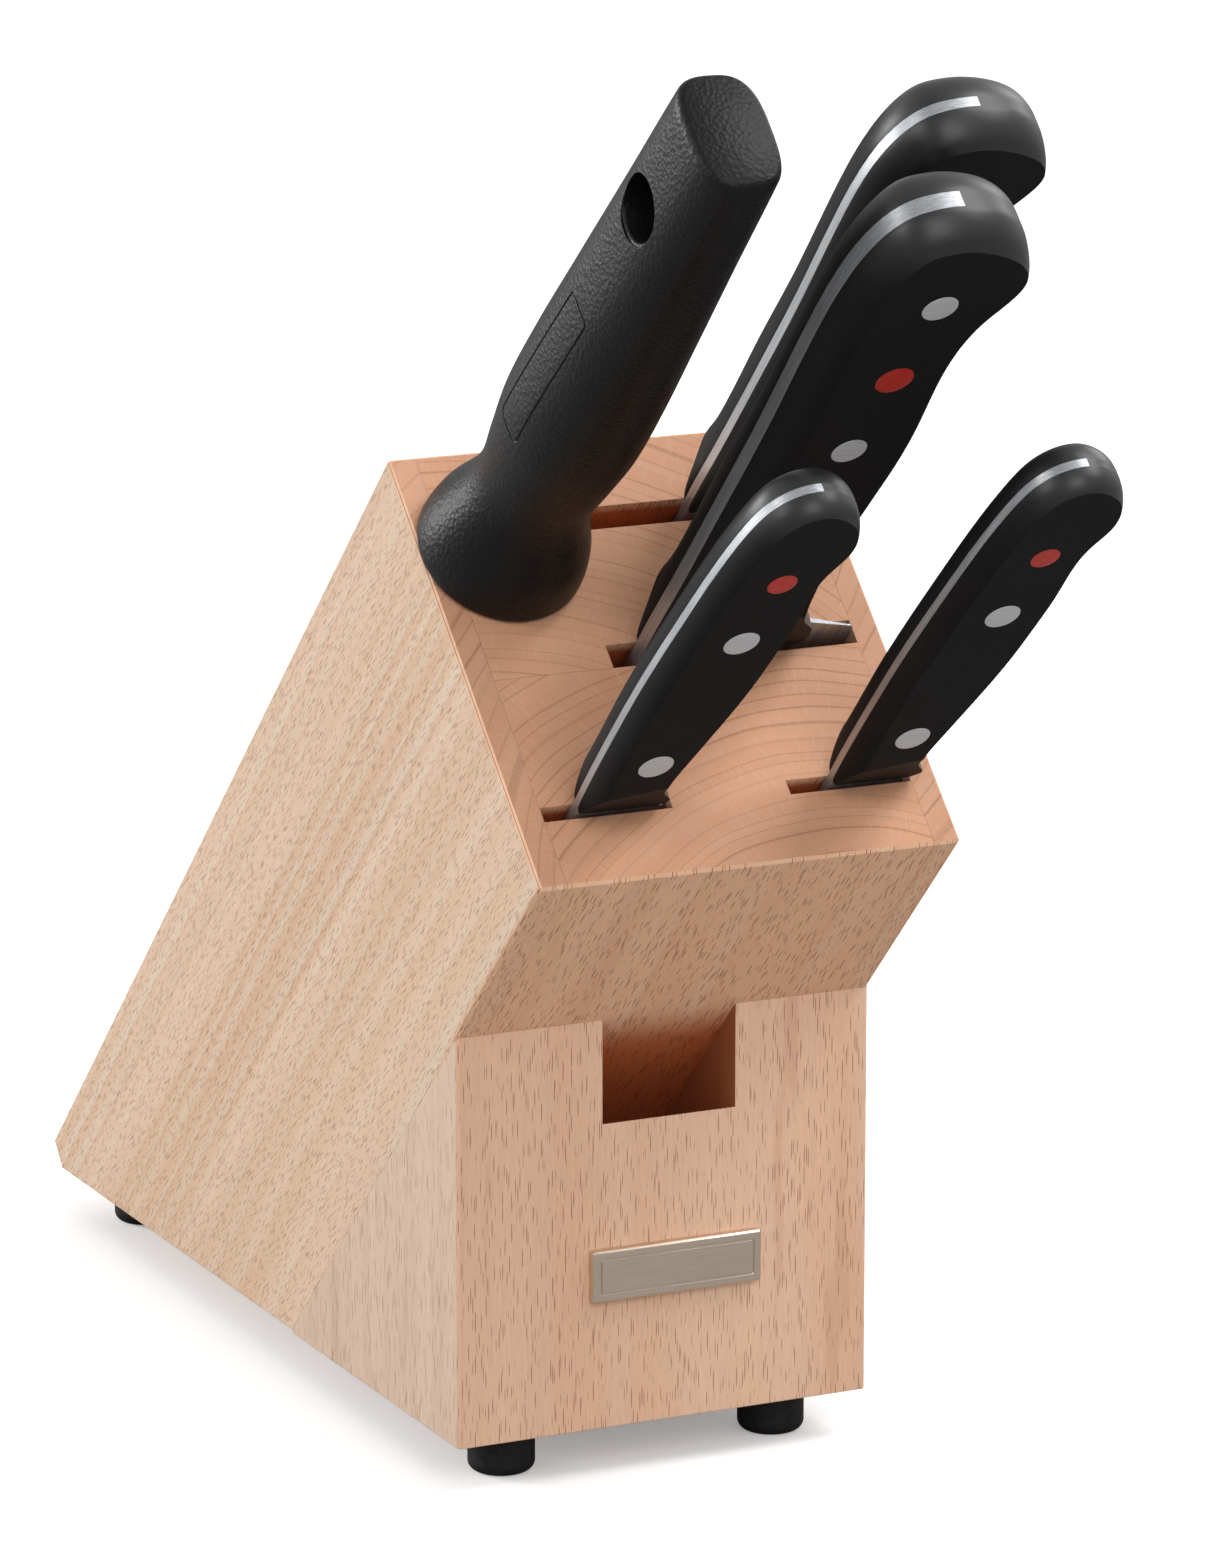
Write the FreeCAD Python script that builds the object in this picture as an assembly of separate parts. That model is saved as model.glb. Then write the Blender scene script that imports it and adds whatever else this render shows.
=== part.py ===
"""Slanted beech knife block with four riveted knives and a honing steel.

World frame, in millimetres: +X to the right as seen from the front, +Y to the back, +Z up.
The origin is at the bottom centre of the whole object's bounding box.

The knives stand in a block that leans at 45 degrees, so most pieces are drawn in the slot frame:
x is the world X, t runs through the block from its lower front face to its back face, and s runs
up along the slots. s is zero on the top face, and t is zero on the lower front face.
"""

import math
import os

import FreeCAD
import Part

V = FreeCAD.Vector

# Block
BLOCK_WIDTH = 85.0
SIDE_BOARD = 5.5
FRONT_HEIGHT = 79.4
OVERHANG = 51.5
BLOCK_THICKNESS = 94.0
BACK_LENGTH = 250.0
HEEL_CHAMFER = 6.5
LEAN_DEG = 45.0
EDGE_BREAK = 0.6
FRONT_CORE = 44.4
MAIN_RAISE = 0.6
HEEL_LEAN_DEG = 40.0

# Channel for shears, milled into the wedge along the slant; the notch is where it leaves the front
NOTCH_LEFT = -12.9
NOTCH_RIGHT = 14.6
NOTCH_DEPTH = 20.1

# Feet and their screws
FOOT_RADIUS = 6.4
FOOT_HEIGHT = 9.3
FOOT_FLAT_RADIUS = 4.4
FOOT_INSET_X = 14.15
FOOT_INSET_Y = 12.0
SCREW_HEAD_RADIUS = 2.4
SCREW_HEAD_RECESS = 3.0
SCREW_HEAD_HEIGHT = 1.6
SCREW_SHANK_RADIUS = 1.5
SCREW_LENGTH = 22.0

# Badge
BADGE_WIDTH = 35.0
BADGE_HEIGHT = 10.0
BADGE_THICKNESS = 2.0
BADGE_CENTRE_X = 1.8
BADGE_CENTRE_Z = 30.2
BADGE_CORNER = 0.55
BADGE_BEVEL = 0.35
BADGE_GROOVE_INSET = 1.5
BADGE_GROOVE_WIDTH = 0.35
BADGE_GROOVE_DEPTH = 0.25
BADGE_PIN_RADIUS = 1.2
BADGE_PIN_LENGTH = 4.0
BADGE_PIN_SPACING = 24.0

# Slots, each (x from, x to, t from, t to); a slot is a saw kerf closed by a side board
CORE_HALF = BLOCK_WIDTH / 2 - SIDE_BOARD
BREAD_SLOT = (-13.0, CORE_HALF, 74.5, 79.4)
CHEF_SLOT = (-13.0, CORE_HALF, FRONT_CORE, 49.4)
LEFT_PARING_SLOT = (-CORE_HALF, -11.5, 13.8, 16.8)
RIGHT_PARING_SLOT = (12.4, CORE_HALF, 13.8, 16.8)

# Honing steel, which leans a little forwards in its bore
STEEL_X = -27.1
STEEL_T = 71.8
STEEL_LEAN_DEG = 1.35
STEEL_STAND_OFF = 0.4
BORE_T = 74.1
BORE_RADIUS = 7.8
BORE_DEPTH = 222.0
ROD_RADIUS = 4.6
ROD_LENGTH = 205.0
ROD_TANG = 60.0
ROD_TIP = 3.0
HANG_HOLE_S = 108.0
HANG_HOLE_T = 1.0
HANG_HOLE_RADIUS = 6.1
HANG_HOLE_REACH = 20.0
# Sections of the steel's handle: (s, half width in x, half width in t, squareness)
STEEL_SECTIONS = (
    (0.0, 15.2, 15.2, 2.0),
    (1.2, 16.1, 16.1, 2.0),
    (4.0, 16.0, 16.0, 2.0),
    (8.0, 15.1, 15.2, 2.0),
    (13.0, 13.5, 13.6, 2.0),
    (18.0, 11.8, 12.0, 2.05),
    (24.0, 11.2, 11.6, 2.1),
    (32.0, 11.8, 12.6, 2.15),
    (44.0, 12.7, 13.9, 2.25),
    (60.0, 12.1, 14.0, 2.35),
    (80.0, 10.9, 13.5, 2.5),
    (105.0, 9.4, 12.8, 2.75),
    (130.0, 8.2, 12.2, 3.0),
    (131.4, 7.4, 11.4, 3.0),
)

# Handle outlines in the plane of the tang: (across from the spine, height above the top face), and
# along the belly also the share of the rounding that is left there
LARGE_SPINE = ((1.9, -0.6), (0.5, 1.4), (0.1, 4.4), (0.2, 20.0), (0.1, 45.0), (-0.1, 71.5),
               (-1.2, 104.0), (-0.7, 120.0), (1.4, 129.3), (5.3, 135.1), (10.0, 137.1), (14.6, 137.5))
LARGE_BELLY = ((21.2, 136.0, 1.0), (26.6, 132.3, 0.8), (29.9, 127.5, 0.5), (30.9, 123.0, 0.35),
               (30.2, 118.6, 0.35), (27.0, 111.8, 0.35), (24.9, 103.0, 0.35), (24.8, 93.0, 0.35),
               (25.7, 81.0, 0.35), (25.8, 69.0, 0.35), (24.9, 55.0, 0.35), (24.3, 40.0, 0.35),
               (25.0, 26.0, 0.4), (27.4, 16.5, 0.5), (30.8, 11.0, 0.6), (32.3, 6.0, 0.6),
               (32.6, 2.0, 0.6), (31.4, -0.4, 0.6))
SMALL_SPINE = ((1.9, 0.3), (0.7, 1.8), (0.2, 4.6), (-0.1, 12.0), (-0.3, 26.0), (-0.2, 42.0),
               (0.8, 62.0), (2.0, 78.0), (3.6, 89.0), (6.4, 96.6), (10.2, 99.8), (14.8, 100.5))
SMALL_BELLY = ((19.2, 98.7, 1.0), (22.5, 95.0, 0.8), (23.6, 90.7, 0.5), (23.3, 85.8, 0.4),
               (21.4, 80.7, 0.4), (20.4, 74.0, 0.4), (20.5, 66.0, 0.4), (20.1, 57.0, 0.4),
               (19.1, 45.0, 0.4), (17.0, 32.0, 0.4), (14.7, 20.0, 0.4), (14.0, 13.0, 0.5),
               (15.2, 8.6, 0.7), (17.2, 5.4, 0.8), (18.2, 2.8, 0.8), (17.0, 0.5, 0.8))

# Each knife, across and along its tang plane: squash shortens the handle, bevel is where the scale's
# front end starts at the tang and at the flat side and how it rises towards the belly, straight is the
# share of the cutting edge that runs straight, and drop is the share of the length over which the
# spine falls to the tip.
KNIVES = {
    "chef_knife": dict(
        spine=LARGE_SPINE, belly=LARGE_BELLY, squash=1.0, x=-7.7, t=46.9,
        half_handle=8.6, round_in=3.9, half_tang=1.6, tang_end=14.6, bevel=(0.3, 18.5, 0.1),
        rivets=((14.9, 117.4), (13.0, 75.2), (13.4, 34.0)), inlay=(14.0, 96.4), inlay_radius=3.6,
        blade_spine=0.15, blade_edge=44.0, heel=(5.7, 2.6), tip=-197.0, tip_across=3.5,
        straight=0.45, drop=0.30, serrated=False),
    "bread_knife": dict(
        spine=LARGE_SPINE, belly=LARGE_BELLY, squash=0.897, x=12.1, t=76.95,
        half_handle=8.1, round_in=3.6, half_tang=1.05, tang_end=14.6, bevel=(0.3, 17.5, 0.1),
        rivets=((14.7, 117.5), (12.9, 75.3), (13.4, 34.0)), inlay=(14.0, 96.4), inlay_radius=3.6,
        blade_spine=0.15, blade_edge=24.4, heel=(-1.0, -1.0), tip=-204.0, tip_across=13.0,
        straight=0.86, drop=0.10, serrated=True),
    "left_paring_knife": dict(
        spine=SMALL_SPINE, belly=SMALL_BELLY, squash=1.0, x=-31.5, t=15.3,
        half_handle=5.3, round_in=1.8, half_tang=0.83, tang_end=14.2, bevel=(0.3, 11.2, 0.2),
        rivets=((11.0, 60.9), (7.9, 21.8)), inlay=(12.4, 79.0), inlay_radius=2.8,
        blade_spine=0.25, blade_edge=19.2, heel=(-0.6, -0.6), tip=-78.0, tip_across=17.0,
        straight=1.0, drop=0.36, serrated=False),
    "right_paring_knife": dict(
        spine=SMALL_SPINE, belly=SMALL_BELLY, squash=1.0, x=19.9, t=15.3,
        half_handle=5.3, round_in=1.8, half_tang=0.83, tang_end=14.2, bevel=(0.3, 11.2, 0.2),
        rivets=((11.0, 60.9), (7.9, 21.8)), inlay=(12.4, 79.0), inlay_radius=2.8,
        blade_spine=0.25, blade_edge=16.7, heel=(-0.6, -0.6), tip=-94.0, tip_across=5.0,
        straight=0.5, drop=0.40, serrated=False),
}
RIVET_RADIUS = 3.4
INLAY_DEPTH = 1.2
EDGE_THICKNESS = 0.3
SERRATION_PITCH = 8.0
SERRATION_DEPTH = 1.3
HEEL_ROUND = 1.4
HEEL_TOP_SHARE = 0.76
BELLY_PULL = 0.62
DROP_PULL = 0.5
ARC_MIDDLE = 1 - math.sqrt(0.5)
SPINE_FLAT = 4.0
BLADE_OVERLAP = 4.4
# Where the tang stops short of the handle's end: (towards the belly, height as a share of the handle)
TANG_LINE = ((0.0, 1.04), (0.0, 0.91), (-3.5, 0.82), (-4.5, 0.40), (-5.5, 0.04), (-3.0, 0.0))
# Rounding of a scale's edge: (share of its thickness, share of the rounding)
CROWN = ((0.0, 0.0), (0.34, 0.11), (0.66, 0.38), (0.86, 0.68), (1.0, 1.0))
# Across the spine, where the front bevel's cutter starts and ends, and how far it reaches past the side
BEVEL_ENDS = (-10.0, 50.0)
BEVEL_BEYOND = 5.0
SECTION_POINTS = 24
FAR = 400.0


# ---------------------------------------------------------------- frames

def corner_points():
    """The block's side outline (y, z) over the wedge's bottom, with y zero on its front face."""
    lean = math.radians(LEAN_DEG)
    up = (-math.sin(lean), math.cos(lean))
    through = (math.cos(lean), math.sin(lean))
    top_front = (OVERHANG * up[0], FRONT_HEIGHT + OVERHANG * up[1])
    top_back = (top_front[0] + BLOCK_THICKNESS * through[0], top_front[1] + BLOCK_THICKNESS * through[1])
    heel = (top_back[0] - BACK_LENGTH * up[0], top_back[1] - BACK_LENGTH * up[1])
    foot = (heel[0] - (heel[1] - MAIN_RAISE) * math.tan(math.radians(HEEL_LEAN_DEG)), MAIN_RAISE)
    return top_front, top_back, heel, foot


TOP_FRONT, TOP_BACK, HEEL, HEEL_FOOT = corner_points()
SLANT_FOOT = (FRONT_HEIGHT - MAIN_RAISE, MAIN_RAISE)


def world(y, z):
    """A point of the side outline, over the floor."""
    return V(0.0, y, z + FOOT_HEIGHT)


def from_slots(shape):
    """Turns a shape drawn in the slot frame (x, t, s) into the world frame over the floor."""
    shape = shape.copy()
    shape.rotate(V(0, 0, 0), V(1, 0, 0), LEAN_DEG)
    shape.translate(world(*TOP_FRONT))
    return shape


def box(x0, x1, y0, y1, z0, z1):
    return Part.makeBox(x1 - x0, y1 - y0, z1 - z0, V(x0, y0, z0))


def slot_box(x0, x1, t0, t1, s0, s1):
    return from_slots(box(x0, x1, t0, t1, s0, s1))


def side_prism(outline, x0, x1):
    """A prism along X over a closed outline of (y, z) points."""
    points = [world(y, z) + V(x0, 0, 0) for y, z in outline]
    face = Part.Face(Part.makePolygon(points + points[:1]))
    return face.extrude(V(x1 - x0, 0, 0))


# ---------------------------------------------------------------- block

def envelope():
    """The whole block in one solid, with its outer edges broken."""
    outline = [(0, 0), (0, FRONT_HEIGHT), TOP_FRONT, TOP_BACK, HEEL, HEEL_FOOT, SLANT_FOOT,
               (SLANT_FOOT[0], 0)]
    solid = side_prism(outline, -BLOCK_WIDTH / 2, BLOCK_WIDTH / 2)
    near = 0.01
    outer = BLOCK_WIDTH / 2 - near
    ridges = [world(*point) for point in (TOP_FRONT, TOP_BACK)]
    edges = []
    for edge in solid.Edges:
        middle = edge.CenterOfMass
        side = abs(middle.x) > outer and middle.z > FOOT_HEIGHT + HEEL[1] / 2
        ridge = any(abs(middle.y - p.y) < near and abs(middle.z - p.z) < near for p in ridges)
        if side or ridge:
            edges.append(edge)
    return solid.makeChamfer(EDGE_BREAK, edges)


def main_block():
    """The slanted part of the block, without the wedge under it."""
    outline = [(0, FRONT_HEIGHT), TOP_FRONT, TOP_BACK, HEEL, HEEL_FOOT, SLANT_FOOT]
    return side_prism(outline, -BLOCK_WIDTH / 2, BLOCK_WIDTH / 2).common(envelope())


def kerf(slot):
    x0, x1, t0, t1 = slot
    return slot_box(x0, x1, t0, t1, -FAR, 1.0)


def block_boards():
    block = main_block()
    half = BLOCK_WIDTH / 2
    pilots = foot_pilots()
    left = block.common(slot_box(-half, -CORE_HALF, -1, BLOCK_THICKNESS + 1, -FAR, 1))
    right = block.common(slot_box(CORE_HALF, half, -1, BLOCK_THICKNESS + 1, -FAR, 1))
    front = block.common(slot_box(-CORE_HALF, CORE_HALF, -1, FRONT_CORE, -FAR, 1))
    rear = block.common(slot_box(-CORE_HALF, CORE_HALF, FRONT_CORE, BLOCK_THICKNESS + 1, -FAR, 1))
    front = front.cut(kerf(LEFT_PARING_SLOT)).cut(kerf(RIGHT_PARING_SLOT))
    bore = from_slots(Part.makeCylinder(BORE_RADIUS, BORE_DEPTH + 1, V(STEEL_X, BORE_T, -BORE_DEPTH)))
    rear = rear.cut(kerf(CHEF_SLOT)).cut(kerf(BREAD_SLOT)).cut(bore).cut(pilots)
    return {"left_side_board": left, "right_side_board": right,
            "front_core_board": front, "rear_core_board": rear}


def wedge_block():
    """The upright wedge under the overhang, with the channel for shears along its slanted side."""
    half = BLOCK_WIDTH / 2
    wedge = side_prism([(0, 0), (0, FRONT_HEIGHT), SLANT_FOOT, (SLANT_FOOT[0], 0)], -half, half)
    depth = NOTCH_DEPTH * math.cos(math.radians(LEAN_DEG))
    channel = slot_box(NOTCH_LEFT, NOTCH_RIGHT, -depth, 1, -FAR, 0)
    return wedge.common(envelope()).cut(channel).cut(badge_pins()).cut(foot_pilots())


# ---------------------------------------------------------------- feet and badge

def foot_places():
    """Name, x, y and height of each foot; the rear ones reach a little higher."""
    x = BLOCK_WIDTH / 2 - FOOT_INSET_X
    rear_y = HEEL_FOOT[0] - FOOT_INSET_Y
    return (("foot_front_left", -x, FOOT_INSET_Y, FOOT_HEIGHT),
            ("foot_front_right", x, FOOT_INSET_Y, FOOT_HEIGHT),
            ("foot_rear_left", -x, rear_y, FOOT_HEIGHT + MAIN_RAISE),
            ("foot_rear_right", x, rear_y, FOOT_HEIGHT + MAIN_RAISE))


def foot_pilots():
    holes = [Part.makeCylinder(SCREW_SHANK_RADIUS, SCREW_LENGTH, V(x, y, SCREW_HEAD_RECESS))
             for _, x, y, _ in foot_places()]
    return Part.makeCompound(holes)


def foot(x, y, height):
    """A turned rubber foot with a rounded lower edge and a sunk hole for its screw."""
    shoulder = FOOT_RADIUS - FOOT_FLAT_RADIUS
    corner = V(FOOT_FLAT_RADIUS, 0, 0)
    side = V(FOOT_RADIUS, 0, shoulder)
    bend = math.radians(45.0)
    middle = V(FOOT_FLAT_RADIUS + shoulder * math.sin(bend), 0, shoulder * (1 - math.cos(bend)))
    head = V(SCREW_HEAD_RADIUS, 0, 0)
    ledge = V(SCREW_HEAD_RADIUS, 0, SCREW_HEAD_RECESS)
    bore = V(SCREW_SHANK_RADIUS, 0, SCREW_HEAD_RECESS)
    bore_top = V(SCREW_SHANK_RADIUS, 0, height)
    rim = V(FOOT_RADIUS, 0, height)
    edges = [Part.LineSegment(head, corner).toShape(), Part.Arc(corner, middle, side).toShape(),
             Part.LineSegment(side, rim).toShape(), Part.LineSegment(rim, bore_top).toShape(),
             Part.LineSegment(bore_top, bore).toShape(), Part.LineSegment(bore, ledge).toShape(),
             Part.LineSegment(ledge, head).toShape()]
    turned = Part.Face(Part.Wire(edges)).revolve(V(0, 0, 0), V(0, 0, 1), 360)
    turned.translate(V(x, y, 0))
    return turned


def foot_screws():
    screws = []
    for _, x, y, _ in foot_places():
        head = Part.makeCylinder(SCREW_HEAD_RADIUS, SCREW_HEAD_HEIGHT,
                                 V(x, y, SCREW_HEAD_RECESS - SCREW_HEAD_HEIGHT))
        shank = Part.makeCylinder(SCREW_SHANK_RADIUS, SCREW_LENGTH, V(x, y, SCREW_HEAD_RECESS))
        screws.append(head.fuse(shank).removeSplitter())
    return Part.makeCompound(screws)


def badge_pins():
    height = BADGE_CENTRE_Z + FOOT_HEIGHT
    pins = [Part.makeCylinder(BADGE_PIN_RADIUS, BADGE_PIN_LENGTH,
                              V(BADGE_CENTRE_X + side * BADGE_PIN_SPACING / 2, 0, height), V(0, 1, 0))
            for side in (-1, 1)]
    return Part.makeCompound(pins)


def rounded_plate(width, height, corner, y0, y1):
    """A plate in the X-Z plane with rounded corners, centred on the badge."""
    x = BADGE_CENTRE_X
    z = BADGE_CENTRE_Z + FOOT_HEIGHT
    plate = box(x - width / 2, x + width / 2, y0, y1, z - height / 2, z + height / 2)
    upright = [e for e in plate.Edges if abs(e.Length - (y1 - y0)) < 1e-6]
    return plate.makeFillet(corner, upright)


def badge():
    """A blank metal plate with a bevelled rim and one engraved border line, on two pins."""
    plate = rounded_plate(BADGE_WIDTH, BADGE_HEIGHT, BADGE_CORNER, -BADGE_THICKNESS, 0)
    rim = [e for e in plate.Edges if abs(e.CenterOfMass.y + BADGE_THICKNESS) < 1e-6]
    plate = plate.makeChamfer(BADGE_BEVEL, rim)
    inset = BADGE_GROOVE_INSET
    ring = inset + BADGE_GROOVE_WIDTH
    floor = -BADGE_THICKNESS + BADGE_GROOVE_DEPTH
    outer = rounded_plate(BADGE_WIDTH - 2 * inset, BADGE_HEIGHT - 2 * inset, BADGE_CORNER, -FAR, floor)
    inner = rounded_plate(BADGE_WIDTH - 2 * ring, BADGE_HEIGHT - 2 * ring,
                          BADGE_CORNER - BADGE_GROOVE_WIDTH, -FAR, floor)
    return plate.cut(outer.cut(inner)).fuse(badge_pins()).removeSplitter()


# ---------------------------------------------------------------- honing steel

def place_steel(shape):
    """Leans a shape drawn on the Z axis with the steel, and stands it on its guard."""
    shape.translate(V(0, 0, STEEL_STAND_OFF))
    shape.rotate(V(0, 0, 0), V(1, 0, 0), STEEL_LEAN_DEG)
    shape.translate(V(STEEL_X, STEEL_T, 0))
    return from_slots(shape)


def section_wire(s, half_x, half_t, squareness):
    """A closed superellipse at height s."""
    points = []
    power = 2.0 / squareness
    for i in range(SECTION_POINTS):
        angle = 2 * math.pi * i / SECTION_POINTS
        c, d = math.cos(angle), math.sin(angle)
        points.append(V(math.copysign(abs(c) ** power, c) * half_x,
                        math.copysign(abs(d) ** power, d) * half_t, s))
    curve = Part.BSplineCurve()
    curve.interpolate(Points=points, PeriodicFlag=True)
    return Part.Wire(curve.toShape())


def steel_handle():
    body = Part.makeLoft([section_wire(*section) for section in STEEL_SECTIONS], True, False)
    hole = Part.makeCylinder(HANG_HOLE_RADIUS, 2 * HANG_HOLE_REACH,
                             V(-HANG_HOLE_REACH, HANG_HOLE_T, HANG_HOLE_S), V(1, 0, 0))
    body = body.cut(hole)
    socket = Part.makeCylinder(ROD_RADIUS, ROD_TANG, V(0, 0, 0))
    return place_steel(body.cut(socket))


def steel_rod():
    straight = Part.makeCylinder(ROD_RADIUS, ROD_LENGTH + ROD_TANG - ROD_TIP, V(0, 0, -ROD_LENGTH + ROD_TIP))
    tip = Part.makeCone(ROD_RADIUS - ROD_TIP / 2, ROD_RADIUS, ROD_TIP, V(0, 0, -ROD_LENGTH))
    return place_steel(straight.fuse(tip).removeSplitter())


# ---------------------------------------------------------------- knives

def handle_outline(knife):
    """The handle's closed outline (x, s), from the spine's front end round the butt to the guard."""
    base = knife["spine"][0][1]
    return [(point[0], base + (point[1] - base) * knife["squash"])
            for point in knife["spine"] + knife["belly"]]


def rounding_shares(knife):
    """How much of the full rounding each point of the outline has."""
    return [1.0] * len(knife["spine"]) + [point[2] for point in knife["belly"]]


def inset(outline, distances):
    """Moves each point of a clockwise outline inwards, across its neighbours' chord."""
    moved = []
    for i, (x, s) in enumerate(outline):
        before = outline[i - 1]
        after = outline[(i + 1) % len(outline)]
        dx, ds = after[0] - before[0], after[1] - before[1]
        length = math.hypot(dx, ds)
        moved.append((x + ds / length * distances[i], s - dx / length * distances[i]))
    return moved


def outline_wire(outline, t):
    curve = Part.BSplineCurve()
    curve.interpolate(Points=[V(x, t, s) for x, s in outline], PeriodicFlag=True)
    return Part.Wire(curve.toShape())


def handle_half(knife):
    """The front half of a handle, from the tang's middle plane to its flat side, at t below zero."""
    outline = handle_outline(knife)
    tang, side, round_in = knife["half_tang"], knife["half_handle"], knife["round_in"]
    depth = side - tang
    shares = rounding_shares(knife)
    wires = [outline_wire(inset(outline, [round_in * inward * share for share in shares]),
                          -tang - depth * out) for out, inward in CROWN]
    crown = Part.makeLoft(wires, True, False)
    web = Part.Face(outline_wire(outline, 0.0)).extrude(V(0, -tang, 0))
    return web.fuse(crown).removeSplitter()


def bevel_section(knife, across):
    """What the front bevel takes away at one distance across the handle."""
    low, high, rise = knife["bevel"]
    tang, side = knife["half_tang"], knife["half_handle"]
    slope = (high + rise * across - low) / (side - tang)
    outside = side + BEVEL_BEYOND
    points = [V(across, 0, -FAR), V(across, 0, low), V(across, -tang, low),
              V(across, -outside, low + slope * (outside - tang)), V(across, -outside, -FAR)]
    return Part.makePolygon(points + points[:1])


def front_bevel(knife):
    """The wedge cut off the front end, from the tang out to the flat side."""
    return Part.makeLoft([bevel_section(knife, across) for across in BEVEL_ENDS], True, True)


def tang_plate(knife):
    """The tang: flush with the spine and over the butt, and hidden along the belly."""
    outline = handle_outline(knife)
    tang = knife["half_tang"]
    low = outline[0][1]
    height = max(s for _, s in outline) - low
    body = Part.Face(outline_wire(outline, -tang)).extrude(V(0, 2 * tang, 0))
    points = [V(-FAR, -tang, low), V(-FAR, -tang, low + height * TANG_LINE[0][1])]
    points += [V(knife["tang_end"] + across, -tang, low + height * share) for across, share in TANG_LINE]
    cutter = Part.Face(Part.makePolygon(points + points[:1])).extrude(V(0, 2 * tang, 0))
    return body.common(cutter)


def blade_face(knife):
    """The blade's outline as a face in the plane t = 0."""
    spine, edge = knife["blade_spine"], knife["blade_edge"]
    near, far = knife["heel"]
    tip = V(knife["tip_across"], 0, knife["tip"])
    length = far - tip.z
    root = V(spine, 0, knife["spine"][0][1] + BLADE_OVERLAP)
    shoulder = V(edge * HEEL_TOP_SHARE, 0, max(root.z, near))
    heel = V(edge - HEEL_ROUND, 0, far)
    heel_middle = V(edge - HEEL_ROUND * ARC_MIDDLE, 0, far - HEEL_ROUND * ARC_MIDDLE)
    turn = V(edge, 0, far - HEEL_ROUND)
    belly = V(edge, 0, far - length * knife["straight"])
    fall = V(spine, 0, tip.z + length * knife["drop"])
    edges = [Part.LineSegment(root, shoulder), Part.LineSegment(shoulder, heel),
             Part.Arc(heel, heel_middle, turn), Part.LineSegment(turn, belly)]
    if knife["straight"] < 1.0:
        edges.append(bent_line(belly, V(edge, 0, belly.z + (tip.z - belly.z) * BELLY_PULL), tip))
    else:
        edges.append(Part.LineSegment(belly, tip))
    edges.append(bent_line(tip, V(tip.x, 0, tip.z + (fall.z - tip.z) * DROP_PULL), fall))
    edges.append(Part.LineSegment(fall, root))
    return Part.Face(Part.Wire([edge_curve.toShape() for edge_curve in edges]))


def bent_line(start, control, end):
    curve = Part.BezierCurve()
    curve.setPoles([start, control, end])
    return curve


def blade_section(knife):
    """A long wedge, thick at the spine and thin at the cutting edge."""
    tang = knife["half_tang"]
    spine, edge = knife["blade_spine"], knife["blade_edge"]
    thin = EDGE_THICKNESS / 2
    thick = spine + SPINE_FLAT
    points = [V(spine, -tang, -FAR), V(thick, -tang, -FAR), V(edge, -thin, -FAR),
              V(edge, thin, -FAR), V(thick, tang, -FAR), V(spine, tang, -FAR)]
    return Part.Face(Part.makePolygon(points + points[:1])).extrude(V(0, 0, 2 * FAR))


def serrations(knife):
    """Scallops along a bread knife's edge."""
    far = knife["heel"][1]
    edge = knife["blade_edge"]
    length = (far - knife["tip"]) * knife["straight"] - SERRATION_PITCH
    radius = (SERRATION_PITCH ** 2 / 4 + SERRATION_DEPTH ** 2) / (2 * SERRATION_DEPTH)
    count = int(length / SERRATION_PITCH)
    tools = [Part.makeCylinder(radius, 2 * SERRATION_PITCH,
                               V(edge + radius - SERRATION_DEPTH, -SERRATION_PITCH,
                                 far - SERRATION_PITCH * (i + 1.5)), V(0, 1, 0))
             for i in range(count)]
    return Part.makeCompound(tools)


def rivet_places(knife):
    base = knife["spine"][0][1]
    return [(x, base + (s - base) * knife["squash"]) for x, s in knife["rivets"]]


def cross_pin(place, radius, t0, t1):
    return Part.makeCylinder(radius, t1 - t0, V(place[0], t0, place[1]), V(0, 1, 0))


def knife_nodes(name, knife):
    """Blade with its tang, two scales, rivets and a round inlay, in the slot frame."""
    side = knife["half_handle"]
    tang = tang_plate(knife)
    plate = blade_face(knife).extrude(V(0, 2 * side, 0))
    plate.translate(V(0, -side, 0))
    blade = plate.common(blade_section(knife))
    if knife["serrated"]:
        blade = blade.cut(serrations(knife))
    blade = blade.fuse(tang).removeSplitter()
    scale = handle_half(knife).cut(front_bevel(knife)).cut(tang).cut(blade)
    rivets = [cross_pin(place, RIVET_RADIUS, -side, side) for place in rivet_places(knife)]
    base = knife["spine"][0][1]
    spot = (knife["inlay"][0], base + (knife["inlay"][1] - base) * knife["squash"])
    inlay = cross_pin(spot, knife["inlay_radius"], -side, -side + INLAY_DEPTH)
    back = scale.mirror(V(0, 0, 0), V(0, 1, 0))
    for rivet in rivets:
        blade = blade.cut(rivet)
        scale = scale.cut(rivet)
        back = back.cut(rivet)
    scale = scale.cut(inlay)
    shapes = {"blade": blade, "front_scale": scale, "rear_scale": back,
              "rivets": Part.makeCompound(rivets), "inlay": inlay}
    nodes = {}
    for part, shape in shapes.items():
        shape.translate(V(knife["x"], knife["t"], 0))
        nodes[name + "_" + part] = from_slots(shape)
    return nodes


# ---------------------------------------------------------------- whole

def all_nodes():
    nodes = {}
    nodes.update(block_boards())
    nodes["wedge_block"] = wedge_block()
    nodes["badge"] = badge()
    for name, x, y, height in foot_places():
        nodes[name] = foot(x, y, height)
    nodes["foot_screws"] = foot_screws()
    nodes["steel_handle"] = steel_handle()
    nodes["steel_rod"] = steel_rod()
    for name, knife in KNIVES.items():
        nodes.update(knife_nodes(name, knife))
    return nodes


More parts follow.
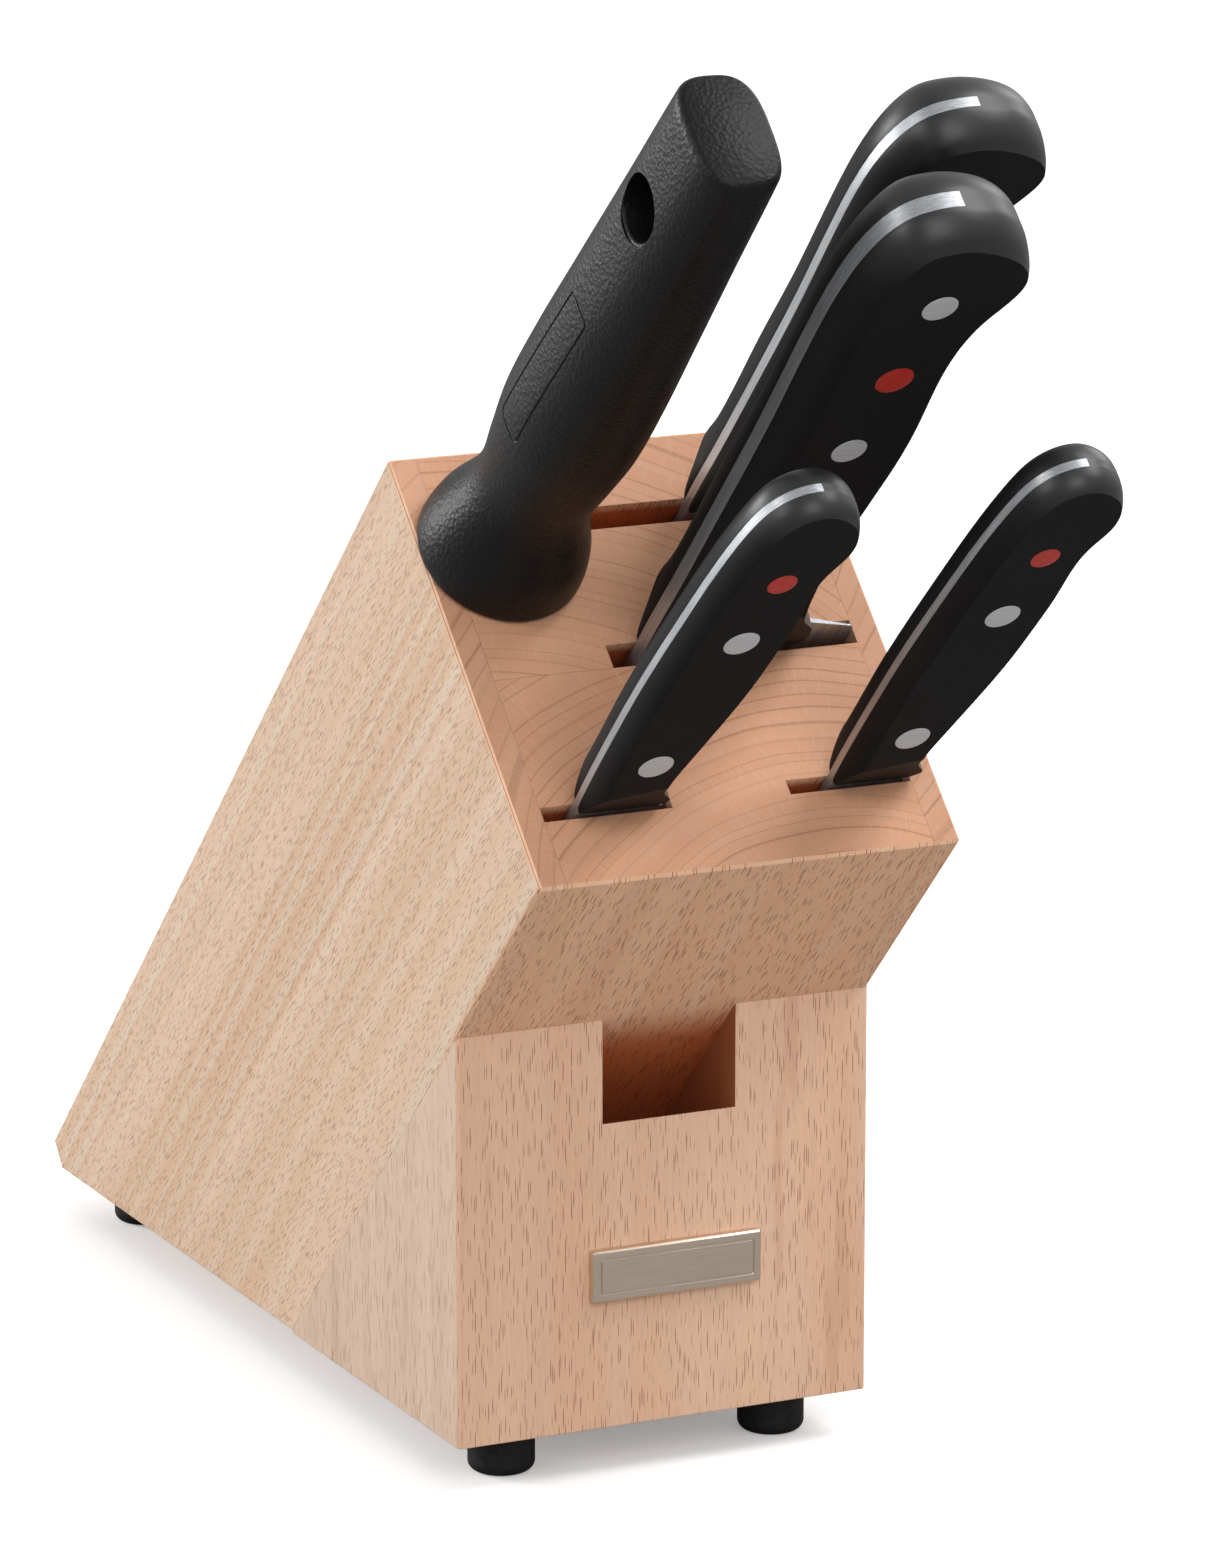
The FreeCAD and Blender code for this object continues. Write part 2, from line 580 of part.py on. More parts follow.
def main():
    os.makedirs("parts", exist_ok=True)
    nodes = all_nodes()
    bounds = FreeCAD.BoundBox()
    for shape in nodes.values():
        bounds.add(shape.optimalBoundingBox(False))
    centre = V((bounds.XMin + bounds.XMax) / 2, (bounds.YMin + bounds.YMax) / 2, bounds.ZMin)
    print("moved by", -centre, "size", bounds.XLength, bounds.YLength, bounds.ZLength)
    for name, shape in nodes.items():
        shape.translate(-centre)
        solids = shape.Solids
        print(name, "solids", len(solids), "valid", shape.isValid(), "volume", round(shape.Volume, 1))
        shape.exportStep(os.path.join("parts", name + ".step"))


main()
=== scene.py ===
"""Looks of the knife block: beech boards, black grips, steel, badge, rubber feet and a pale studio."""

import math

import bmesh
import bpy
from mathutils import Matrix, Vector


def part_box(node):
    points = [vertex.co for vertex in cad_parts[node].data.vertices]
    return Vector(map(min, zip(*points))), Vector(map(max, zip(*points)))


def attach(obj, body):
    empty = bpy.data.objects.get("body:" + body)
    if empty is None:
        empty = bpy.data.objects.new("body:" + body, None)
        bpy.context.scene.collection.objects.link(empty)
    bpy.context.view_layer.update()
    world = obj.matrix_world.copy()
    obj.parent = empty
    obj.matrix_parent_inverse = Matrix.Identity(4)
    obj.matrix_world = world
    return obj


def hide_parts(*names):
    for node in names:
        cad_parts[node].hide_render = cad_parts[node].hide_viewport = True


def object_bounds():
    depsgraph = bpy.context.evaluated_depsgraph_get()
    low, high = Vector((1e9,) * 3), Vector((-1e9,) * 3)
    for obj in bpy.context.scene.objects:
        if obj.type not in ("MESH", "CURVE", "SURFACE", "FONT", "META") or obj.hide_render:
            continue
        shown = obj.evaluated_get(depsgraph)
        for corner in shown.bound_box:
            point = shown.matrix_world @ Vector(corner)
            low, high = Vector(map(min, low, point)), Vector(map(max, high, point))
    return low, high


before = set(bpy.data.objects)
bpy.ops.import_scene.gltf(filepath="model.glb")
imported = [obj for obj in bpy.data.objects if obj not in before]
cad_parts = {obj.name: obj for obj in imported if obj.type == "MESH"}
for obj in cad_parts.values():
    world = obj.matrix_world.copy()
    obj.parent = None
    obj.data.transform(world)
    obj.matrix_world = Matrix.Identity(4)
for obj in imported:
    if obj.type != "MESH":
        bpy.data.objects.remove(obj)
CAD_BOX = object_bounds()

MM = 0.001
KNIVES = ("chef_knife", "bread_knife", "left_paring_knife", "right_paring_knife")

# The slot frame: x across the block, t through it from its lower front face, s up along the slots
LEAN = math.radians(45.0)
OVERHANG = 51.5 * MM
BLOCK_THICKNESS = 94.0 * MM
WEDGE_LOW, WEDGE_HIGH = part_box("wedge_block")
WEDGE_FOOT = Vector(((WEDGE_LOW.x + WEDGE_HIGH.x) / 2, WEDGE_LOW.y, WEDGE_LOW.z))
UP_SLOT = Vector((0.0, -math.sin(LEAN), math.cos(LEAN)))
THROUGH = Vector((0.0, math.cos(LEAN), math.sin(LEAN)))
TOP_EDGE = WEDGE_FOOT + Vector((0.0, 0.0, WEDGE_HIGH.z - WEDGE_LOW.z)) + OVERHANG * UP_SLOT
SLOTS = Matrix.Translation(TOP_EDGE) @ Matrix.Rotation(LEAN, 4, "X")

# Honing steel, in its own frame: z up along its rod from the rim of the guard
STEEL_X = -27.1 * MM
STEEL_T = 71.8 * MM
STEEL_LEAN = math.radians(1.35)
STAND_OFF = 0.4 * MM
STEEL = (SLOTS @ Matrix.Translation((STEEL_X, STEEL_T, 0.0)) @ Matrix.Rotation(STEEL_LEAN, 4, "X")
         @ Matrix.Translation((0.0, 0.0, STAND_OFF)))


# ---------------------------------------------------------------- materials

def tint(red, green, blue):
    """A colour given in display values from 0 to 255, as the shader's linear one."""
    def linear(value):
        share = value / 255.0
        return share / 12.92 if share <= 0.04045 else ((share + 0.055) / 1.055) ** 2.4
    return (linear(red), linear(green), linear(blue), 1.0)


# What the sawn ends of beech make of its colour
END_TONE = tint(229, 213, 206)
# Painted shade on faces that look sideways: the colour that paints them darker and less red
SIDE_SHADE_TONE = tint(228, 243, 252)
# Painted shade inside the slots and the channel: the colour it multiplies the wood by, darker and redder
HOLLOW_SHADE_TONE = tint(208, 148, 112)
# What the late wood makes of it, and the pale early wood, stains and streaks beside it
LATE_TONE = tint(236, 221, 208)
EARLY_TONE = tint(244, 226, 206)
STAIN_TONE = tint(222, 172, 144)
STREAK_TONE = tint(214, 160, 130)
# Ring lines on sawn ends, and rays on the long faces and on sawn ends
ARC_TONE = tint(150, 104, 80)
DASH_TONE = tint(140, 72, 44)
END_RAY_TONE = tint(236, 196, 168)
# The largest dash's share of its place, and the rays on sawn ends: pitch across and along, and shares
DASH_MOST = 0.27
END_RAY_PITCH = (0.55, 7.0)
END_RAY_SHARES = (0.05, 0.30)
# How far a ring strays from its circle
RING_BEND = 9.0 * MM
# How far from the middle the channel's walls reach, and where the painted shade down the channel starts
# and is darkest
CHANNEL_REACH = 20.0 * MM
CHANNEL_SHADE_START = -OVERHANG + 4.0 * MM
CHANNEL_SHADE_DEEPEST = -OVERHANG - 13.0 * MM
# Where painted shade in the slots begins below the top face and is darkest, and how far inside the
# block's outer faces it fades in
KERF_SHADE_START = -0.5 * MM
KERF_SHADE_DEEPEST = -3.0 * MM
SKIN = (0.5 * MM, 1.5 * MM)
WOOD_BUMP = 0.05 * MM


class Shader:
    """A principled material, with short calls for the nodes that feed it."""

    def __init__(self, name, roughness=0.5, metallic=0.0, specular=0.5):
        self.material = bpy.data.materials.new(name)
        self.material.use_nodes = True
        self.nodes = self.material.node_tree.nodes
        self.links = self.material.node_tree.links
        self.surface = self.nodes["Principled BSDF"]
        self.surface.inputs["Roughness"].default_value = roughness
        self.surface.inputs["Metallic"].default_value = metallic
        self.surface.inputs["Specular IOR Level"].default_value = specular
        coordinates = self.nodes.new("ShaderNodeTexCoord")
        self.place = coordinates.outputs["Object"]
        self.normal = coordinates.outputs["Normal"]

    def put(self, socket, value):
        if isinstance(value, bpy.types.NodeSocket):
            self.links.new(value, socket)
        else:
            socket.default_value = value

    def node(self, kind, inputs, **settings):
        made = self.nodes.new("ShaderNode" + kind)
        for key, value in settings.items():
            setattr(made, key, value)
        for key, value in inputs.items():
            self.put(made.inputs[key], value)
        return made

    def math(self, operation, *values):
        return self.node("Math", dict(enumerate(values)), operation=operation).outputs[0]

    def dot(self, vector, direction):
        made = self.node("VectorMath", {0: vector, 1: direction}, operation="DOT_PRODUCT")
        return made.outputs["Value"]

    def less(self, vector, offset):
        return self.node("VectorMath", {0: vector, 1: offset}, operation="SUBTRACT").outputs["Vector"]

    def joined(self, x, y, z):
        return self.node("CombineXYZ", {0: x, 1: y, 2: z}).outputs[0]

    def span(self, value, low, high, to_low=0.0, to_high=1.0):
        """A smooth step from to_low to to_high as value goes from low to high."""
        made = self.node("MapRange", {"Value": value, "From Min": low, "From Max": high,
                                      "To Min": to_low, "To Max": to_high},
                         interpolation_type="SMOOTHSTEP")
        return made.outputs["Result"]

    def noise(self, vector, scale=1.0, detail=2.0, roughness=0.5):
        made = self.node("TexNoise", {"Vector": vector, "Scale": scale, "Detail": detail,
                                      "Roughness": roughness})
        return made.outputs["Fac"]

    def cells(self, vector, scale=1.0):
        made = self.node("TexVoronoi", {"Vector": vector, "Scale": scale})
        return made.outputs["Distance"]

    def dashes(self, sideways, lengthways, low, high):
        """One long spot in each cell of a plane, of a size between low and high shares of the cell."""
        made = self.node("TexVoronoi", {"Vector": self.joined(sideways, lengthways, 0.0), "Scale": 1.0},
                         voronoi_dimensions="2D")
        chance = self.nodes.new("ShaderNodeSeparateColor")
        self.links.new(made.outputs["Color"], chance.inputs[0])
        reach = self.math("MULTIPLY_ADD", chance.outputs[0], high - low, low)
        return self.span(self.math("SUBTRACT", reach, made.outputs["Distance"]), 0.0, 0.06)

    def mix(self, factor, first, second, blend="MIX"):
        made = self.nodes.new("ShaderNodeMix")
        made.data_type = "RGBA"
        made.blend_type = blend
        self.put(made.inputs[0], factor)
        self.put(made.inputs[6], first)
        self.put(made.inputs[7], second)
        return made.outputs[2]

    def finish(self, colour, height=None, depth=0.1 * MM, strength=0.3, rounding=None):
        """Connects the colour and a bump of the given depth, over edges rounded a little."""
        self.put(self.surface.inputs["Base Color"], colour)
        normal = None
        if rounding:
            normal = self.node("Bevel", {"Radius": rounding}, samples=4).outputs[0]
        if height is not None:
            bump = self.node("Bump", {"Height": height, "Distance": depth, "Strength": strength})
            if normal is not None:
                self.links.new(normal, bump.inputs["Normal"])
            normal = bump.outputs[0]
        if normal is not None:
            self.links.new(normal, self.surface.inputs["Normal"])
        return self.material


def beech(name, slanted, pith, centre, ring, light, dark, seed, dashes, dash_pitch, least, bands,
          streaks=0.0, shade_in_hollows=None):
    """Steamed beech, as a solid texture of year rings round a pith, rays across them, and fibres.

    The grain runs up the slots on slanted boards, and upright on the others. pith is where the
    centre of the rings lies across the grain, in mm, centre is how far that is from the board, and
    ring is how thick one year is. dashes, bands and streaks are how strongly those show. dash_pitch
    is how far the dashes lie apart across and along the grain, in mm, and least is the smallest
    dash's share of its place. shade_in_hollows says where painted shade darkens the wood: inside
    the slots, or on the channel's walls.
    """
    s = Shader(name, roughness=0.55, specular=0.25)
    if slanted:
        place = s.less(s.place, TOP_EDGE)
        depth, along = s.dot(place, THROUGH), s.dot(place, UP_SLOT)
        ends = s.dot(s.normal, UP_SLOT)
    else:
        place = s.less(s.place, WEDGE_FOOT)
        depth, along = s.dot(place, (0, 1, 0)), s.dot(place, (0, 0, 1))
        ends = s.dot(s.normal, (0, 0, 1))
    across = s.math("SUBTRACT", s.dot(place, (1, 0, 0)), pith[0] * MM)
    depth = s.math("SUBTRACT", depth, pith[1] * MM)
    end_grain = s.span(s.math("ABSOLUTE", ends), 0.75, 0.95)

    def stretched(shift, sideways, lengthways):
        return s.joined(s.math("MULTIPLY_ADD", across, sideways, shift),
                        s.math("MULTIPLY", depth, sideways), s.math("MULTIPLY", along, lengthways))

    # year rings, uneven in width and in strength
    bend = s.math("SUBTRACT", s.noise(stretched(seed, 16.0, 3.5), detail=2.0), 0.5)
    centre_way = s.math("ADD", s.math("MULTIPLY", across, across), s.math("MULTIPLY", depth, depth))
    radius = s.math("SQRT", centre_way)
    year = s.math("DIVIDE", s.math("MULTIPLY_ADD", bend, RING_BEND, radius), ring)
    uneven = s.noise(s.joined(s.math("MULTIPLY", year, 0.45), seed, 0.0), detail=1.0)
    year = s.math("MULTIPLY_ADD", uneven, 2.4, year)
    phase = s.math("FRACT", year)
    power = s.noise(s.joined(s.math("MULTIPLY", year, 0.8), seed + 3.0, s.math("MULTIPLY", along, 6.0)))
    power = s.span(power, 0.3, 0.7, 0.25, 1.0)
    late = s.math("MULTIPLY", s.span(phase, 0.55, 0.95, 0.0, 0.6), s.span(phase, 0.96, 1.0, 1.0, 0.0))
    early = s.math("MULTIPLY", s.span(phase, 0.0, 0.06), s.span(phase, 0.16, 0.4, 1.0, 0.0))
    arc = s.math("MULTIPLY", s.span(phase, 0.80, 0.93), s.span(phase, 0.95, 1.0, 1.0, 0.0))
    tone = s.noise(s.joined(s.math("MULTIPLY", year, 0.55), seed + 7.0, s.math("MULTIPLY", along, 3.0)),
                   detail=3.0, roughness=0.55)

    # rays: thin flakes that stand across the rings, dark dashes on the faces and pale lines on the ends
    turn = s.math("MULTIPLY_ADD", s.math("ARCTAN2", depth, across), centre * MM, seed * 0.01)
    sideways = s.span(s.math("ABSOLUTE", s.dot(s.normal, (1, 0, 0))), 0.8, 0.95)
    aside = s.math("MULTIPLY_ADD", sideways, s.math("SUBTRACT", depth, across), across)
    wide, long = dash_pitch
    ray = s.dashes(s.math("MULTIPLY", aside, 1 / (wide * MM)), s.math("MULTIPLY", along, 1 / (long * MM)),
                   least, DASH_MOST)
    end_wide, end_long = END_RAY_PITCH
    end_ray = s.dashes(s.math("MULTIPLY", turn, 1 / (end_wide * MM)),
                       s.math("MULTIPLY", radius, 1 / (end_long * MM)), *END_RAY_SHARES)

    # fibres, pores and slow stains
    fibre = s.noise(stretched(seed, 4600.0, 190.0), detail=2.0, roughness=0.6)
    pores = s.noise(stretched(seed, 2100.0, 90.0), detail=3.0, roughness=0.7)
    stain = s.noise(stretched(seed * 5.0, 40.0, 8.0), detail=3.0)

    # long faces
    face = s.mix(s.span(tone, 0.35, 0.65), light, dark)
    face = s.mix(s.math("MULTIPLY", s.math("MULTIPLY", late, power), bands), face,
                 s.mix(1.0, face, LATE_TONE, "MULTIPLY"))
    face = s.mix(s.math("MULTIPLY", s.math("MULTIPLY", early, power), bands), face,
                 s.mix(0.5, face, EARLY_TONE))
    face = s.mix(s.span(stain, 0.52, 0.78, 0.0, 0.3), face, s.mix(0.5, face, STAIN_TONE))
    if streaks:
        wave = s.noise(stretched(seed + 11.0, 120.0, 14.0), detail=2.0)
        face = s.mix(s.span(wave, 0.60, 0.68, 0.0, streaks), face, STREAK_TONE)
    near_middle = s.math("LESS_THAN", s.math("ABSOLUTE", s.dot(place, (1, 0, 0))), CHANNEL_REACH)
    walls = s.math("MULTIPLY", sideways, near_middle)
    shown = s.math("MULTIPLY", ray, s.math("MULTIPLY_ADD", walls, -dashes, dashes))
    face = s.mix(shown, face, DASH_TONE)
    # painted shade: faces that look sideways are painted darker and less red
    face = s.mix(sideways, face, s.mix(1.0, face, SIDE_SHADE_TONE, "MULTIPLY"))

    # sawn ends
    end = s.mix(1.0, s.mix(s.span(tone, 0.30, 0.70), light, dark), END_TONE, "MULTIPLY")
    end = s.mix(s.math("MULTIPLY", s.math("MULTIPLY", arc, power), 0.55), end, ARC_TONE)
    end = s.mix(s.math("MULTIPLY", end_ray, 0.2), end, END_RAY_TONE)

    colour = s.mix(end_grain, face, end)
    # painted shade: the wood is painted darker and redder inside the slots, down the channel and on the
    # channel's walls, darker the deeper it lies
    hollow_shade = None
    if shade_in_hollows == "slots":
        depth_in = s.dot(place, THROUGH)
        thin, thick = SKIN
        within = s.math("MULTIPLY", s.span(depth_in, thin, thick),
                        s.span(depth_in, BLOCK_THICKNESS - thick, BLOCK_THICKNESS - thin, 1.0, 0.0))
        kerf_shade = s.math("MULTIPLY", within, s.span(along, KERF_SHADE_DEEPEST, KERF_SHADE_START, 1.0, 0.0))
        kerf_shade = s.math("MULTIPLY", kerf_shade, s.span(s.math("ABSOLUTE", ends), 0.2, 0.4, 1.0, 0.0))
        channel = s.math("MULTIPLY", s.span(depth_in, thin, thick, 1.0, 0.0),
                         s.span(along, CHANNEL_SHADE_DEEPEST, CHANNEL_SHADE_START, 1.0, 0.0))
        hollow_shade = s.math("MAXIMUM", kerf_shade, channel)
    if shade_in_hollows == "walls":
        hollow_shade = walls
    if hollow_shade is not None:
        colour = s.mix(hollow_shade, colour, s.mix(1.0, colour, HOLLOW_SHADE_TONE, "MULTIPLY"))
    speckle = s.math("MULTIPLY_ADD", s.math("ADD", fibre, pores), 0.22, 0.78)
    colour = s.mix(1.0, colour, s.joined(speckle, speckle, speckle), "MULTIPLY")
    height = s.math("SUBTRACT", s.math("MULTIPLY", fibre, 0.5), s.math("MULTIPLY", ray, 0.5))
    s.put(s.surface.inputs["Roughness"], s.math("MULTIPLY_ADD", pores, 0.22, 0.46))
    return s.finish(colour, height, depth=WOOD_BUMP, strength=0.3, rounding=0.3 * MM)


def scale_plastic(name, seed):
    """The grips' black plastic: matt on the flat sides and polished to a satin on the butt."""
    s = Shader(name, specular=0.16)
    s.surface.inputs["Coat Roughness"].default_value = 0.38
    flat = s.span(s.math("ABSOLUTE", s.dot(s.normal, THROUGH)), 0.985, 0.998)
    place = s.less(s.place, TOP_EDGE)
    along = s.dot(place, UP_SLOT)
    across = s.dot(place, (1, 0, 0))
    depth = s.dot(place, THROUGH)
    grain = s.noise(s.joined(s.math("MULTIPLY_ADD", across, 2600.0, seed),
                             s.math("MULTIPLY", depth, 2600.0), s.math("MULTIPLY", along, 1500.0)),
                    detail=3.0, roughness=0.65)
    brushed = s.noise(s.joined(s.math("MULTIPLY", across, 240.0), s.math("MULTIPLY", depth, 4200.0),
                               s.math("MULTIPLY", along, 240.0)), detail=2.0)
    cloud = s.noise(s.place, scale=60.0, detail=2.0)
    height = s.math("ADD", grain, s.math("MULTIPLY", brushed, 0.8))
    upward = s.span(s.dot(s.normal, UP_SLOT), 0.05, 0.55)
    colour = s.mix(flat, tint(18, 19, 20), tint(15, 16, 17))
    colour = s.mix(s.span(cloud, 0.3, 0.7, 0.0, 0.4), colour, tint(10, 11, 12))
    s.put(s.surface.inputs["Coat Weight"], upward)
    s.put(s.surface.inputs["Roughness"], s.math("MULTIPLY_ADD", grain, 0.2, 0.55))
    return s.finish(colour, height, depth=0.05 * MM, strength=0.22, rounding=0.25 * MM)


def grained_plastic(name):
    """The honing steel's grip: black plastic with a fine pebbled grain."""
    s = Shader(name, roughness=0.45, specular=0.24)
    pebbles = s.cells(s.place, scale=1150.0)
    pits = s.noise(s.place, scale=1900.0, detail=3.0, roughness=0.7)
    height = s.math("MULTIPLY_ADD", pits, 0.7, pebbles)
    cloud = s.noise(s.place, scale=45.0, detail=2.0)
    colour = s.mix(s.span(cloud, 0.3, 0.7), tint(20, 21, 22), tint(15, 16, 17))
    colour = s.mix(s.span(pebbles, 0.1, 0.7, 0.0, 0.45), colour, tint(8, 8, 9))
    s.put(s.surface.inputs["Roughness"], s.math("MULTIPLY_ADD", pits, 0.3, 0.26))
    return s.finish(colour, height, depth=0.12 * MM, strength=0.8)


def brushed_metal(name, colour, worn, lines, roughness, strength=0.12, metallic=1.0):
    """Metal with fine brush lines across one direction."""
    s = Shader(name, metallic=metallic, roughness=roughness)
    place = s.less(s.place, TOP_EDGE)
    stretched = s.joined(*(s.math("MULTIPLY", s.dot(place, axis), count) for axis, count in lines))
    brushed = s.noise(stretched, detail=3.0, roughness=0.65)
    cloud = s.noise(s.place, scale=90.0, detail=2.0)
    shade = s.mix(s.span(brushed, 0.25, 0.75), colour, worn)
    shade = s.mix(s.span(cloud, 0.3, 0.75, 0.0, 0.4), shade, worn)
    s.put(s.surface.inputs["Roughness"], s.math("MULTIPLY_ADD", brushed, 0.22, roughness - 0.1))
    return s.finish(shade, brushed, depth=0.03 * MM, strength=strength, rounding=0.15 * MM)


def rubber():
    s = Shader("foot_rubber", roughness=0.6, specular=0.3)
    dust = s.noise(s.place, scale=700.0, detail=4.0, roughness=0.7)
    colour = s.mix(s.span(dust, 0.35, 0.75), tint(20, 20, 22), tint(34, 34, 36))
    return s.finish(colour, dust, depth=0.08 * MM, strength=0.3, rounding=0.3 * MM)


def red_enamel():
    s = Shader("inlay_red", roughness=0.35, specular=0.4)
    mottle = s.noise(s.place, scale=900.0, detail=3.0)
    colour = s.mix(s.span(mottle, 0.3, 0.7), tint(203, 44, 28), tint(186, 36, 24))
    return s.finish(colour, mottle, depth=0.02 * MM, strength=0.2)


def dress(node, material):
    """Gives a CAD node its material."""
    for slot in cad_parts[node].material_slots:
        slot.link = "OBJECT"
        slot.material = material


# ---------------------------------------------------------------- mesh tools

SHARP_ANGLE = math.radians(32.0)
GRIP_SHARP_ANGLE = math.radians(38.0)
ROUND_SIDES = 64


def piece(name, mesh, material, body, slot, *replaced):
    """A new smooth-shaded object that rides on a body and stands for CAD nodes."""
    bmesh.ops.recalc_face_normals(mesh, faces=mesh.faces)
    data = bpy.data.meshes.new(name)
    mesh.to_mesh(data)
    mesh.free()
    data.materials.append(material)
    data.shade_smooth()
    data.set_sharp_from_angle(angle=SHARP_ANGLE)
    made = bpy.data.objects.new(name, data)
    bpy.context.scene.collection.objects.link(made)
    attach(made, body)
    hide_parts(*replaced)
    return made


def add_loft(mesh, rings, matrix):
    """Adds closed rings of points, joined by quads and closed at both ends."""
    rows = [[mesh.verts.new(matrix @ Vector(point)) for point in ring] for ring in rings]
    count = len(rows[0])
    for low, high in zip(rows, rows[1:]):
        for i in range(count):
            j = (i + 1) % count
            mesh.faces.new((low[i], low[j], high[j], high[i]))
    mesh.faces.new(rows[0][::-1])
    mesh.faces.new(rows[-1])


def circle(radius, height, count=ROUND_SIDES):
    return [(radius * math.cos(2 * math.pi * i / count), radius * math.sin(2 * math.pi * i / count),
             height) for i in range(count)]


def smooth_between(table, s):
    """Reads a table of rows (s, values...) at s, along a curve through them."""
    last = len(table) - 1
    i = max(j for j in range(last) if table[j][0] <= s) if s > table[0][0] else 0
    before, low, high = table[max(i - 1, 0)], table[i], table[i + 1]
    after = table[min(i + 2, last)]
    step = high[0] - low[0]
    share = (s - low[0]) / step
    values = []
    for k in range(1, len(low)):
        leave = (high[k] - before[k]) / (high[0] - before[0]) * step
        arrive = (after[k] - low[k]) / (after[0] - low[0]) * step
        a, b = share * share * (3 - 2 * share), share * (1 - share)
        values.append(low[k] * (1 - a) + high[k] * a + b * ((1 - share) * leave - share * arrive))
    return values


# ---------------------------------------------------------------- honing steel

# Sections of the grip: (height, half width in x, half width in t, squareness)
GRIP = (
    (0.0, 15.2, 15.2, 2.0), (0.5, 15.9, 15.9, 2.0), (1.4, 16.1, 16.1, 2.0), (4.0, 15.9, 15.9, 2.0),
    (8.0, 15.1, 15.2, 2.0), (13.0, 13.4, 13.5, 2.0), (18.0, 11.8, 12.0, 2.05),
    (24.0, 11.1, 11.5, 2.1), (32.0, 11.8, 12.5, 2.15), (44.0, 12.6, 13.8, 2.25),
    (60.0, 12.1, 14.0, 2.35), (80.0, 10.9, 13.5, 2.5), (105.0, 9.4, 12.8, 2.75),
    (129.6, 8.2, 12.2, 3.0), (130.3, 8.0, 12.0, 3.0), (130.9, 7.6, 11.6, 3.0),
    (131.3, 7.0, 11.0, 3.0),
)
GRIP_TURN = 144
# Heights of the grip's rings: round the rim, evenly up to where the end turns in, and round the end
GRIP_STEP = 1.1
RIM_HEIGHTS = [0.0, 0.25, 0.5, 0.9, 1.4]
TURN_IN = GRIP[-4][0]
END_HEIGHTS = [130.0, 130.3, 130.65, 130.9, 131.15, GRIP[-1][0]]
HOLE_PLACE = (1.0, 108.0)
HOLE_RADIUS = 6.1
HOLE_RIM = 0.6
# Places along the hole's rounded rim, as shares of it, and how far out the cutter reaches
HOLE_FLARE = (-0.3, 0.0, 0.2, 0.45, 0.7, 1.0)
HOLE_REACH = 20.0
PLATE_PLACE = (0.0, 61.0)
PLATE_SIZE = (7.6, 37.0)
PLATE_CORNER = 1.2
PLATE_CORNER_STEPS = 6
PLATE_GROOVE = 0.28
PLATE_GROOVE_SIDES = 8
PLATE_GROOVE_OUT = 0.05
PLATE_STEP = 1.5


def grip_ring(s):
    half_x, half_t, square = smooth_between(GRIP, s)
    ring = []
    for i in range(GRIP_TURN):
        angle = 2 * math.pi * i / GRIP_TURN
        c, d = math.cos(angle), math.sin(angle)
        ring.append((math.copysign(abs(c) ** (2 / square), c) * half_x * MM,
                     math.copysign(abs(d) ** (2 / square), d) * half_t * MM, s * MM))
    return ring


def grip_side(t, s):
    """How far the grip's left side stands from its axis at (t, s), in mm."""
    half_x, half_t, square = smooth_between(GRIP, s)
    return half_x * (1 - min(abs(t / half_t), 1.0) ** square) ** (1 / square)


def hole_tool():
    """A turned cutter along x that flares where it meets the grip's sides."""
    tool = bmesh.new()
    face = grip_side(*HOLE_PLACE)
    rings = []
    flare = [HOLE_REACH] + [face - HOLE_RIM * share for share in HOLE_FLARE]
    for out in [-x for x in flare] + [0.0] + flare[::-1]:
        near = max(0.0, min(1.0, (abs(out) - face + HOLE_RIM) / HOLE_RIM))
        radius = HOLE_RADIUS + HOLE_RIM * (1 - math.sqrt(max(0.0, 1 - near * near)))
        rings.append([(out * MM, HOLE_PLACE[0] * MM + y, HOLE_PLACE[1] * MM + z)
                      for y, z, _ in circle(radius * MM, 0.0)])
    add_loft(tool, rings, STEEL)
    return tool


def plate_path():
    """Points round the blank name plate's outline, as (t, s) in mm."""
    half_t, half_s = PLATE_SIZE[0] / 2 - PLATE_CORNER, PLATE_SIZE[1] / 2 - PLATE_CORNER
    points = []
    for start, (side_t, side_s) in enumerate(((1, 1), (-1, 1), (-1, -1), (1, -1))):
        centre = (PLATE_PLACE[0] + side_t * half_t, PLATE_PLACE[1] + side_s * half_s)
        for i in range(PLATE_CORNER_STEPS + 1):
            angle = math.pi / 2 * (start + i / PLATE_CORNER_STEPS)
            points.append((centre[0] + PLATE_CORNER * math.cos(angle),
                           centre[1] + PLATE_CORNER * math.sin(angle)))
    return points


def plate_tool():
    """A thin tube that lies along the plate's outline in the grip's surface."""
    corners = plate_path()
    path = []
    for (t0, s0), (t1, s1) in zip(corners, corners[1:] + corners[:1]):
        count = max(1, int(math.hypot(t1 - t0, s1 - s0) / PLATE_STEP))
        path += [(t0 + (t1 - t0) * i / count, s0 + (s1 - s0) * i / count) for i in range(count)]
    tool = bmesh.new()
    rows = []
    for i, (t, s) in enumerate(path):
        before, after = path[i - 1], path[(i + 1) % len(path)]
        along = Vector((0.0, after[0] - before[0], after[1] - before[1])).normalized()
        aside = along.cross(Vector((1, 0, 0)))
        centre = Vector((-grip_side(t, s) - PLATE_GROOVE_OUT, t, s))
        turns = [2 * math.pi * k / PLATE_GROOVE_SIDES for k in range(PLATE_GROOVE_SIDES)]
        ring = [(centre + PLATE_GROOVE * (math.cos(a) * aside + math.sin(a) * Vector((1, 0, 0)))) * MM
                for a in turns]
        rows.append([tool.verts.new(STEEL @ point) for point in ring])
    for row, following in zip(rows, rows[1:] + rows[:1]):
        for k in range(PLATE_GROOVE_SIDES):
            m = (k + 1) % PLATE_GROOVE_SIDES
            tool.faces.new((row[k], row[m], following[m], following[k]))
    bmesh.ops.recalc_face_normals(tool, faces=tool.faces)
    return tool


